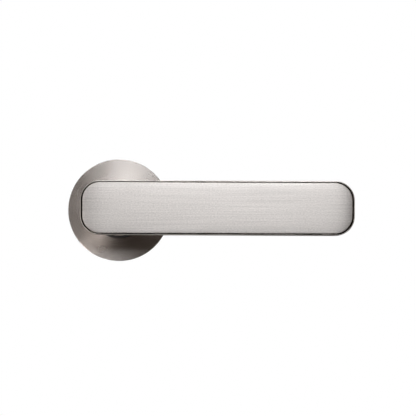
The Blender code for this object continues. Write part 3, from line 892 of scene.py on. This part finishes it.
def pocket_tool(front, back):
    """A mesh to cut with: the spring pockets and the stop lug's room, as one prism."""
    outline = []
    for i, (start, end, radius) in enumerate(POCKETS):
        next_start = POCKETS[i + 1][0] if i + 1 < len(POCKETS) else POCKETS[0][0] + 360
        outline += arc(radius, start, end) + arc(HUB_ROOM, end, next_start)
    return prism(outline, front, back)


def back_screw_places():
    """Where the back plate's screws go in, as (x, z)."""
    for angle in BACK_SCREW_ANGLES:
        yield (
            BACK_SCREW_CIRCLE * math.cos(math.radians(angle)),
            BACK_SCREW_CIRCLE * math.sin(math.radians(angle)),
        )


def make_sub_rose():
    radius, front = sub_high.z, sub_low.y
    groove_back, groove_front = RING_GROOVE
    seat = back_high.z + BACK_PLATE_PLAY
    path = filleted(
        [
            (radius, 0, SOFT),
            (radius, groove_back, 0),
            (radius - RING_GROOVE_DEPTH, groove_back, 0),
            (radius - RING_GROOVE_DEPTH, groove_front, 0),
            (radius, groove_front, 0),
            (radius, front, SUB_ROSE_ROUND),
            (SUB_ROSE_BORE, front, ROUND),
            (SUB_ROSE_BORE, SUB_ROSE_FLOOR, 0),
            (seat, SUB_ROSE_FLOOR, 0),
            (seat, 0, SEAT_EASE),
        ]
    )
    lugs = []
    cuts = [pocket_tool(POCKET_FRONT, PAST)]
    for x in (-FIXING_X, FIXING_X):
        lugs.append(tool_rod(LUG_RADIUS, SUB_ROSE_FLOOR - LUG_ROOT, sub_high.y, x, sides=LUG_STEPS))
        cuts.append(tool_rod(FIXING_HEAD_BORE, front - PAST, FIXING_HEAD_FLOOR, x))
        cuts.append(tool_rod(FIXING_SHANK_BORE, front - PAST, sub_high.y + PAST, x))
    for x, z in back_screw_places():
        cuts.append(tool_rod(BACK_SCREW_BORE, BACK_SCREW_FLOOR, PAST, x, z, sides=HOLE_STEPS))
    mesh = shaped(lathe("sub_rose", path), cuts, lugs, bevel=0.15 * MM)
    piece("visual_sub_rose", mesh, "rose", "cast_zinc", "sub_rose", ZINC_CAST)


def make_back_plate():
    outer, inner = back_high.z, 12.6 * MM
    lug_hole = 4.3 * MM
    front, back = back_low.y, back_high.y
    path = [(outer, back), (outer, front), (inner, front), (inner, back)]
    cuts = [tool_rod(lug_hole, -THROUGH, THROUGH, x, sides=LUG_STEPS) for x in (-FIXING_X, FIXING_X)]
    cuts += [countersink(*BACK_SCREW_HOLE, x, z, back, -1) for x, z in back_screw_places()]
    mesh = shaped(lathe("back_plate", path), cuts, bevel=0.1 * MM)
    piece("visual_back_plate", mesh, "rose", "pressed_steel", "back_plate", PRESSED)


def make_circlip():
    inner, outer, ear, ear_hole = 8.45 * MM, 10.7 * MM, 11.9 * MM, 0.7 * MM
    opening, ear_end = 20, 36  # degrees either side of straight down
    outline = (
        arc(ear, opening - 90, ear_end - 90)
        + arc(outer, ear_end - 90, 270 - ear_end)
        + arc(ear, 270 - ear_end, 270 - opening)
        + arc(inner, 270 - opening, opening - 90)
    )
    holes = []
    reach = (inner + ear) / 2
    for side in (-1, 1):
        angle = math.radians(side * (opening + ear_end) / 2 - 90)
        x, z = reach * math.cos(angle), reach * math.sin(angle)
        holes.append(tool_rod(ear_hole, -THROUGH, THROUGH, x, z, sides=HOLE_STEPS))
    mesh = shaped(prism(outline, clip_low.y, clip_high.y), holes, bevel=0.08 * MM)
    piece("visual_circlip", mesh, "lever", "black_oxide_steel", "circlip", BLACK)


SPRING_TURNS = 8
SPRING_CIRCLE = 15.4 * MM
SPRING_COIL = 1.9 * MM
SPRING_WIRE = 0.8 * MM
SPRING_CLOSED_PITCH = 1.05 * MM
SPRING_ENDS = (39.1, 135.9)
POINTS_A_TURN = 28


def make_spring(name, node, half_turn):
    """A coil round an arc of the spring circle, with a closed turn at each end.

    The rose holds its first end, and the lever's driver pushes the other.
    """
    low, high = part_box(node)
    middle_y = (low.y + high.y) / 2
    closed = math.degrees(SPRING_CLOSED_PITCH / SPRING_CIRCLE)
    start, end = SPRING_ENDS[0] + closed / 2 + half_turn, SPRING_ENDS[1] - closed / 2 + half_turn
    open_pitch = (end - start - 2 * closed) / (SPRING_TURNS - 2)
    curve = bpy.data.curves.new(name, "CURVE")
    curve.dimensions = "3D"
    curve.bevel_depth = SPRING_WIRE / 2
    curve.bevel_resolution = 4
    curve.use_fill_caps = True
    spline = curve.splines.new("POLY")
    count = SPRING_TURNS * POINTS_A_TURN
    spline.points.add(count)
    for i in range(count + 1):
        turn = i / POINTS_A_TURN
        open_turns = min(max(turn - 1, 0), SPRING_TURNS - 2)
        along = math.radians(start + closed * (turn - open_turns) + open_pitch * open_turns)
        radius = SPRING_CIRCLE + SPRING_COIL * math.cos(math.tau * turn)
        y = middle_y + SPRING_COIL * math.sin(math.tau * turn)
        spline.points[i].co = (radius * math.cos(along), y, radius * math.sin(along), 1)
    obj = finished_piece(name, wire_mesh(curve), "spring_steel", node, SPRING)
    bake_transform(obj)


def wire_mesh(curve):
    """A curve with a bevel as a finished mesh."""
    work = linked("work", curve)
    mesh = evaluated_mesh(work)
    bpy.data.objects.remove(work)
    bm = bmesh.new()
    bm.from_mesh(mesh)
    bpy.data.meshes.remove(mesh)
    return finished_mesh(bm, "wire", sharp=60)


def make_springs():
    make_spring("visual_return_spring_upper", "return_spring_upper", 0)
    make_spring("visual_return_spring_lower", "return_spring_lower", 180)


def finish_cad_nodes():
    """Pieces hidden inside the rose keep their CAD shape, with a finish of their own."""
    for node, material in (
        ("spring_driver", PRESSED),
        ("thrust_washer", PRESSED),
        ("retaining_washer", PRESSED),
        ("cover_snap_ring", SPRING),
    ):
        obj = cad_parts[node]
        obj.data.materials.clear()
        obj.data.materials.append(material)


# ---------------------------------------------------------------- camera, light and floor

CAMERA_DISTANCE = 1.230
SENSOR_WIDTH = 36
FRAME_WIDTH = 0.2055  # what the picture spans at the lever's front
CAMERA_ELEVATION = math.radians(-1.58)
CAMERA_YAW = math.radians(0.91)
CAMERA_ROLL = math.radians(0.2)
AIM = Vector((0.04485, -0.056, -0.00003))  # what the picture's middle shows, at the lever's front


def make_camera():
    data = bpy.data.cameras.new("camera")
    camera = linked("camera", data)
    data.sensor_width = SENSOR_WIDTH
    data.lens = SENSOR_WIDTH * CAMERA_DISTANCE / FRAME_WIDTH
    data.clip_start, data.clip_end = 0.01, 50
    level = math.cos(CAMERA_ELEVATION)
    towards = Vector(
        (math.sin(CAMERA_YAW) * level, math.cos(CAMERA_YAW) * level, -math.sin(CAMERA_ELEVATION))
    )
    camera.location = AIM - towards * CAMERA_DISTANCE
    turn = towards.to_track_quat("-Z", "Y").to_matrix() @ Matrix.Rotation(CAMERA_ROLL, 3, "Z")
    camera.rotation_euler = turn.to_euler()
    bpy.context.scene.camera = camera


LIGHT_DISTANCE = 1.6
LIGHT_TARGET = Vector((0.045, -0.03, 0))
# Azimuth and elevation in degrees, width and height in metres, power in watts, and colour.
LIGHTS = {
    "front_high": (3, 38, 0.35, 0.3, 4.85, (1, 1, 1)),
    "front_high_left": (-12, 30, 0.35, 0.3, 2.1, (1, 1, 1)),
    "front_high_right": (16, 30, 0.35, 0.3, 1.1, (1, 1, 1)),
    "front_middle": (3, 12, 0.4, 0.3, 1.15, (1, 1, 1)),
    "left_high": (-30, 32, 0.4, 0.4, 3.95, (1, 0.97, 0.95)),
    "left_middle": (-30, 7, 0.35, 0.4, 1.2, (1, 0.94, 0.9)),
    "left_low": (-45, -13, 0.4, 0.35, 2.1, (1, 0.93, 0.88)),
    "under_left": (-31, -27, 0.4, 0.35, 6.4, (1, 0.93, 0.88)),
    "under_front": (-16, -38, 0.4, 0.35, 3.2, (1, 0.93, 0.88)),
    "right_fill": (48, 0, 0.9, 0.9, 1.6, (1, 0.88, 0.8)),
    "overhead": (180, 78, 0.7, 0.7, 4.2, (1, 1, 1)),
    "side_left": (-84, 12, 1.1, 1.3, 2.2, (1, 1, 1)),
    "side_right": (84, 12, 1.1, 1.3, 2.2, (1, 1, 1)),
    "back_left": (-148, 5, 0.7, 0.7, 3.0, (1, 1, 1)),
    "back_right": (148, 5, 0.7, 0.7, 3.0, (1, 1, 1)),
    "back": (180, 15, 0.9, 0.9, 4.0, (1, 1, 1)),
}


def soft_light(name, azimuth, elevation, width, height, power, colour):
    turn, tilt = math.radians(azimuth), math.radians(elevation)
    out = Vector((math.sin(turn) * math.cos(tilt), -math.cos(turn) * math.cos(tilt), math.sin(tilt)))
    data = bpy.data.lights.new(name, "AREA")
    data.shape = "RECTANGLE"
    data.size, data.size_y = width, height
    data.energy = power
    data.color = colour
    light = linked(name, data)
    light.location = LIGHT_TARGET + out * LIGHT_DISTANCE
    light.rotation_euler = out.to_track_quat("Z", "Y").to_euler()


def make_lights():
    for name, settings in LIGHTS.items():
        soft_light(name, *settings)


DARK_ROOM = (0.034, 0.026, 0.021, 1)  # what the metal sees between the lamps
BACKDROP = (1, 1, 1, 1)  # what the camera sees


def make_world():
    world = bpy.data.worlds.new("studio")
    bpy.context.scene.world = world
    world.use_nodes = True
    tree = world.node_tree
    path = tree.nodes.new("ShaderNodeLightPath")
    mix = tree.nodes.new("ShaderNodeMix")
    mix.data_type = "RGBA"
    mix.inputs["A"].default_value = DARK_ROOM
    mix.inputs["B"].default_value = BACKDROP
    tree.links.new(path.outputs["Is Camera Ray"], mix.inputs["Factor"])
    tree.links.new(mix.outputs["Result"], tree.nodes["Background"].inputs["Color"])
    bpy.context.scene.view_settings.view_transform = "Standard"


FLOOR_RADIUS = 8
FLOOR_LEVEL = -0.9  # low enough to lie below the picture


def make_floor():
    """A pale floor that glows by itself. The metal doesn't see it, and it gives the metal no light."""
    bm = bmesh.new()
    bmesh.ops.create_circle(bm, cap_ends=True, segments=96, radius=FLOOR_RADIUS)
    mesh = mesh_from(bm, "floor")
    floor = linked("floor", mesh)
    floor.location.z = FLOOR_LEVEL
    n = Nodes("pale_floor")
    cloud = n.noise(n.place(), 3, detail=3)
    n.feed("Emission Color", n.tint(cloud, (0.72, 0.72, 0.72), (0.76, 0.76, 0.76)))
    n.set(Base_Color=(0.05, 0.05, 0.05, 1), Roughness=0.8, Emission_Strength=1.0)
    mesh.materials.append(n.material)
    floor.visible_glossy = False
    floor.visible_diffuse = False


make_face_plate()
make_frame()
make_neck()
make_spindle()
make_countersunk_screws()
make_fixing_screws()
make_grub_screw()
make_cover()
make_bush()
make_sub_rose()
make_back_plate()
make_circlip()
make_springs()
finish_cad_nodes()
make_camera()
make_lights()
make_world()
make_floor()
